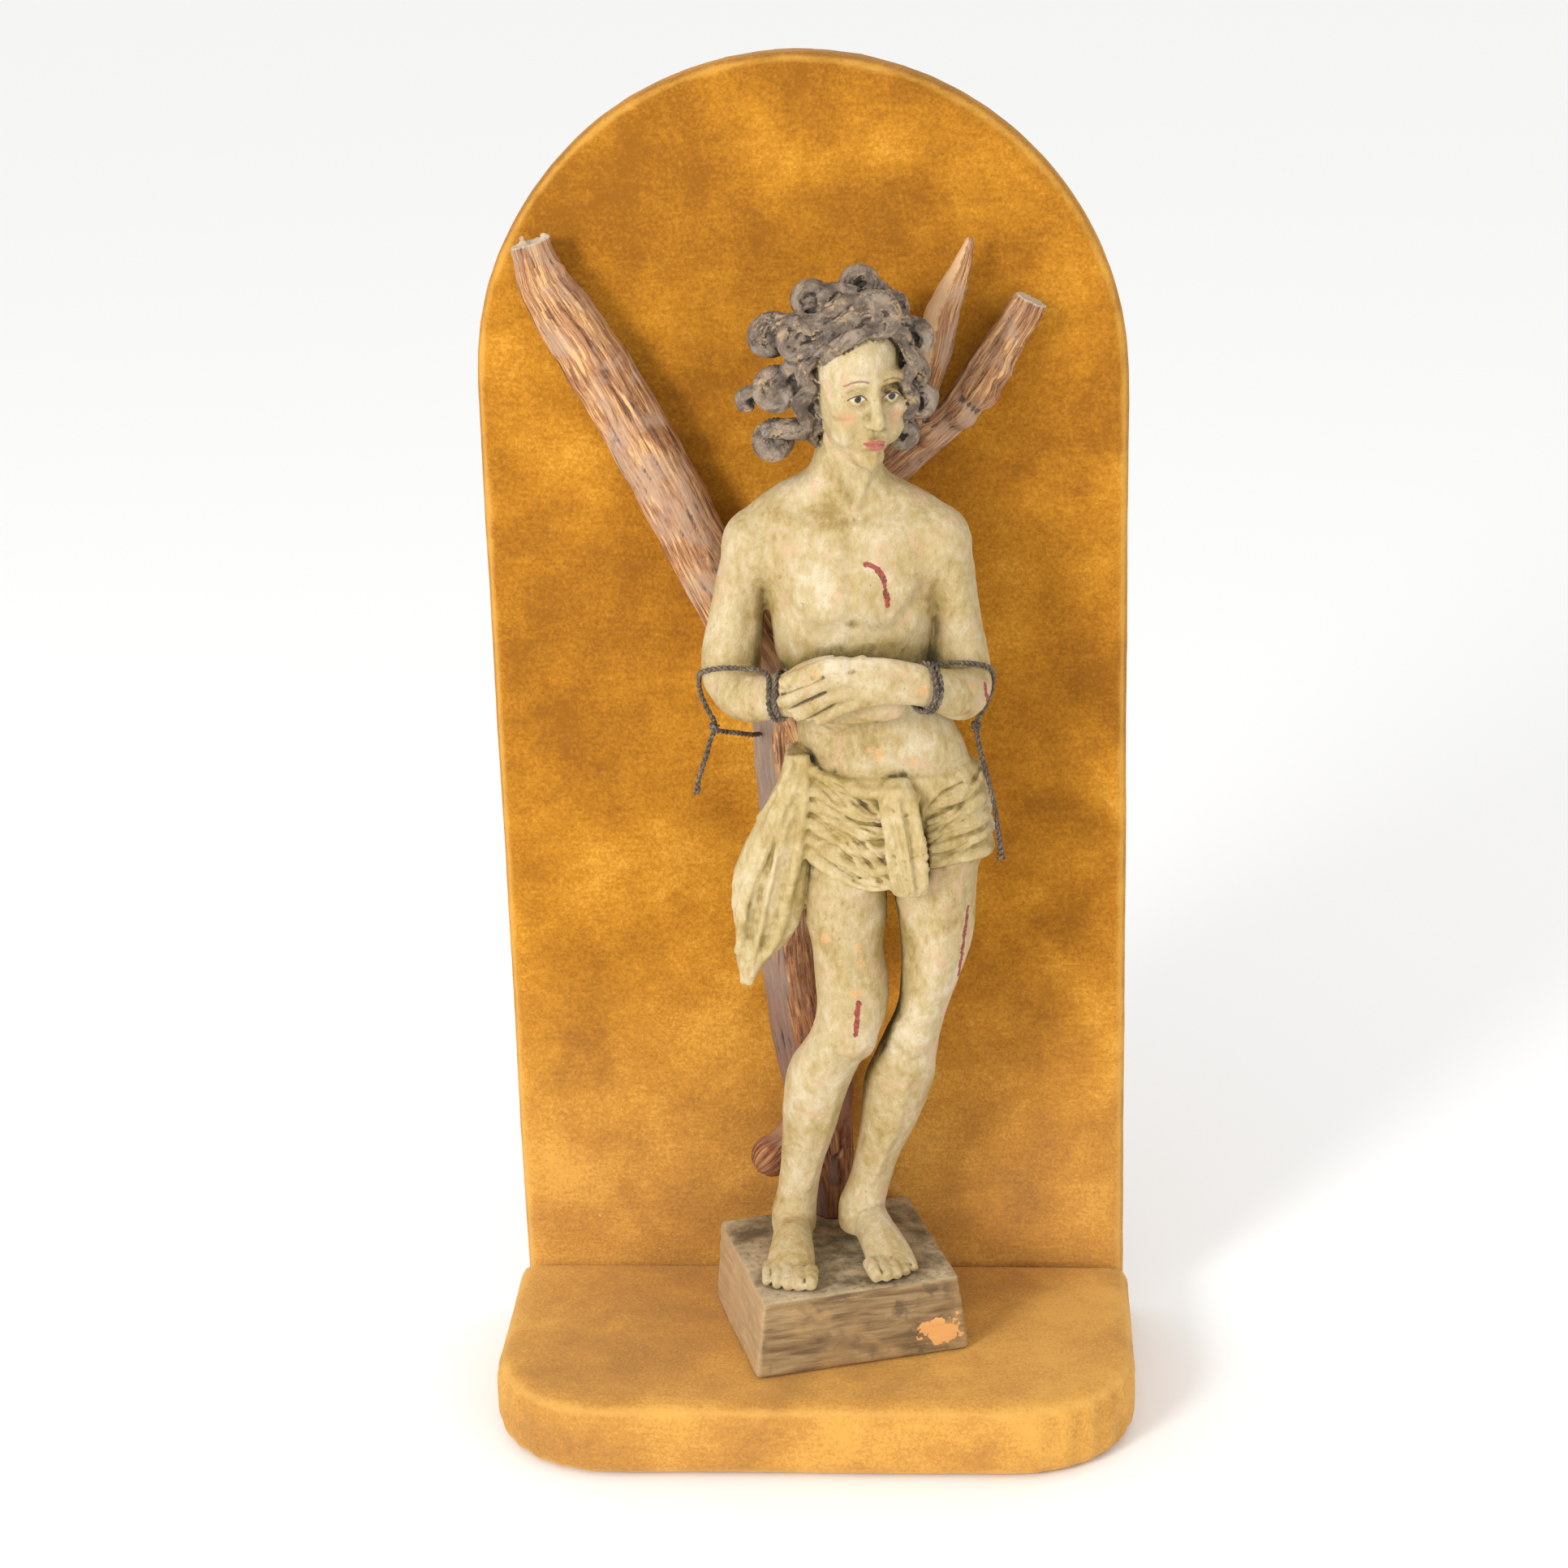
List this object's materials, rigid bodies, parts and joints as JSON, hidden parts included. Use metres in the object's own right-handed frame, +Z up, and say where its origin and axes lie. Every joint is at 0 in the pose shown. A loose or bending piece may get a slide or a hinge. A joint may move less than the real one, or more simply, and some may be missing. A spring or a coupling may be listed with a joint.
{
  "type": "wooden saint statue",
  "caption": "Carved and painted wooden saint on a skewed plinth, tied with twine before a forked branch, on an arched velvet-covered stand.",
  "frame": {"origin": "on the ground, under the middle of the stand's footprint", "axes": "+Z up, the figure faces -Y, +X to the viewer's right, the back board across X at +Y"},
  "size_m": [0.264, 0.1492, 0.55],
  "materials": {
    "gold_velvet": "worn cut-pile velvet, golden brown, mottled",
    "stained_block": "dark stained carved wood with chipped ground",
    "aged_paint": "aged cream paint over carved wood, olive grime in the hollows",
    "bark": "half-stripped red-brown bark",
    "dark_twine": "two-ply hemp twine, dark with age"
  },
  "bodies": {
    "root": {"velvet_back_board": "gold_velvet", "velvet_shelf": "gold_velvet", "plinth": "stained_block", "saint_figure": "aged_paint", "tree": "bark", "right_arm_twine": "dark_twine", "left_arm_twine": "dark_twine", "right_twine_end": "dark_twine", "left_twine_end": "dark_twine"}
  },
  "joints": []
}
